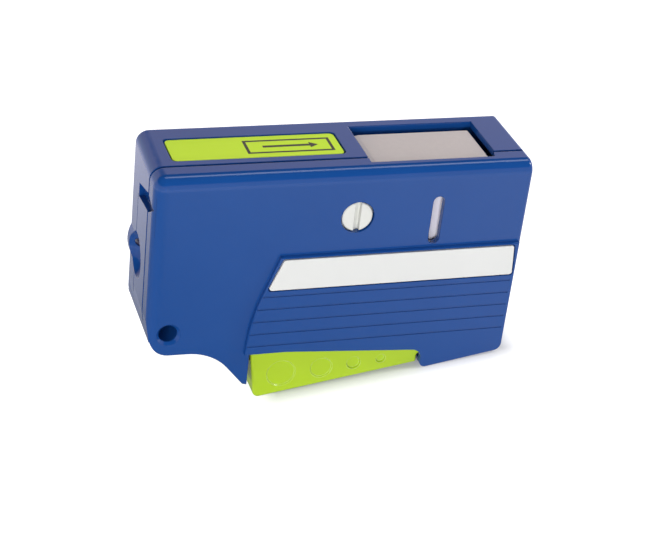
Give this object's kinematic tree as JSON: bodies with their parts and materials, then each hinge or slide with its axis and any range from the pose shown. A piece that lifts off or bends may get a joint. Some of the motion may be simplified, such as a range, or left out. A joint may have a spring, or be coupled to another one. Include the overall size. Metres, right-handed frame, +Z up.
{
  "type": "fibre connector cleaner",
  "caption": "Hand-held reel cassette with a tape in a top window that wipes fibre connector ends; squeezing the sprung lever below works the tape drive.",
  "frame": {"origin": "middle of the overall box at floor height, standing on the lever's heel and the foot", "axes": "+X along the length towards the foot and the cleaning window, +Y from the front to the rear, +Z up"},
  "size_m": [0.1182, 0.0336, 0.0798],
  "materials": {
    "blue_plastic": "glossy blue",
    "green_plastic": "satin yellow-green",
    "green_label": "satin yellow-green film",
    "white_plastic": "satin white",
    "tape": "fine woven, greige",
    "felt": "grey felt",
    "soft_pad": "matt",
    "steel": "bright drawn wire"
  },
  "bodies": {
    "case": {"rear_case": "blue_plastic", "front_cover": "blue_plastic", "top_label": "green_label", "name_strip": "white_plastic", "pad_carrier": "blue_plastic", "cleaning_pad": "soft_pad", "cleaning_tape": "tape", "supply_brake": "felt", "takeup_brake": "felt", "lever_pin": "steel"},
    "lever": {"lever": "green_plastic", "lever_spring": "steel"},
    "drive": {"drive_pinion": "white_plastic", "clutch_spring": "steel"},
    "takeup_reel": {"takeup_spool": "white_plastic", "takeup_roll": "tape"},
    "supply_reel": {"supply_spool": "white_plastic", "supply_roll": "tape"},
    "left_roller": {"left_guide_roller": "white_plastic"},
    "right_roller": {"right_guide_roller": "white_plastic"},
    "lock": {"cover_lock": "white_plastic"}
  },
  "joints": [
    {"name": "lever_squeeze", "type": "hinge", "parent": "case", "child": "lever", "pos_m": [0.03099, -0.0002, 0.00576], "axis": [0, 1, 0], "range_deg": [0, 8], "stiffness_Nm_per_rad": 0.6, "springref_deg": -14.32},
    {"name": "pinion_turn", "type": "hinge", "parent": "case", "child": "drive", "pos_m": [-0.02852, -0.0002, 0.04355], "axis": [0, -1, 0], "range_deg": [0, 46]},
    {"name": "takeup_turn", "type": "hinge", "parent": "case", "child": "takeup_reel", "pos_m": [-0.02852, -0.0002, 0.04355], "axis": [0, -1, 0], "continuous": true},
    {"name": "supply_turn", "type": "hinge", "parent": "case", "child": "supply_reel", "pos_m": [0.02632, -0.0002, 0.03572], "axis": [0, -1, 0], "continuous": true},
    {"name": "left_roller_turn", "type": "hinge", "parent": "case", "child": "left_roller", "pos_m": [0.00737, -0.0002, 0.0657], "axis": [0, -1, 0], "continuous": true},
    {"name": "right_roller_turn", "type": "hinge", "parent": "case", "child": "right_roller", "pos_m": [0.04507, -0.0002, 0.05668], "axis": [0, -1, 0], "continuous": true},
    {"name": "lock_turn", "type": "hinge", "parent": "case", "child": "lock", "pos_m": [0.00464, -0.0072, 0.057], "axis": [0, 1, 0], "range_deg": [0, 90]}
  ],
  "couplings": [
    {"joint": "pinion_turn", "follows": "lever_squeeze", "ratio": 5.7143},
    {"joint": "supply_turn", "follows": "takeup_turn", "ratio": 0.61538},
    {"joint": "left_roller_turn", "follows": "takeup_turn", "ratio": 5},
    {"joint": "right_roller_turn", "follows": "takeup_turn", "ratio": 4}
  ]
}
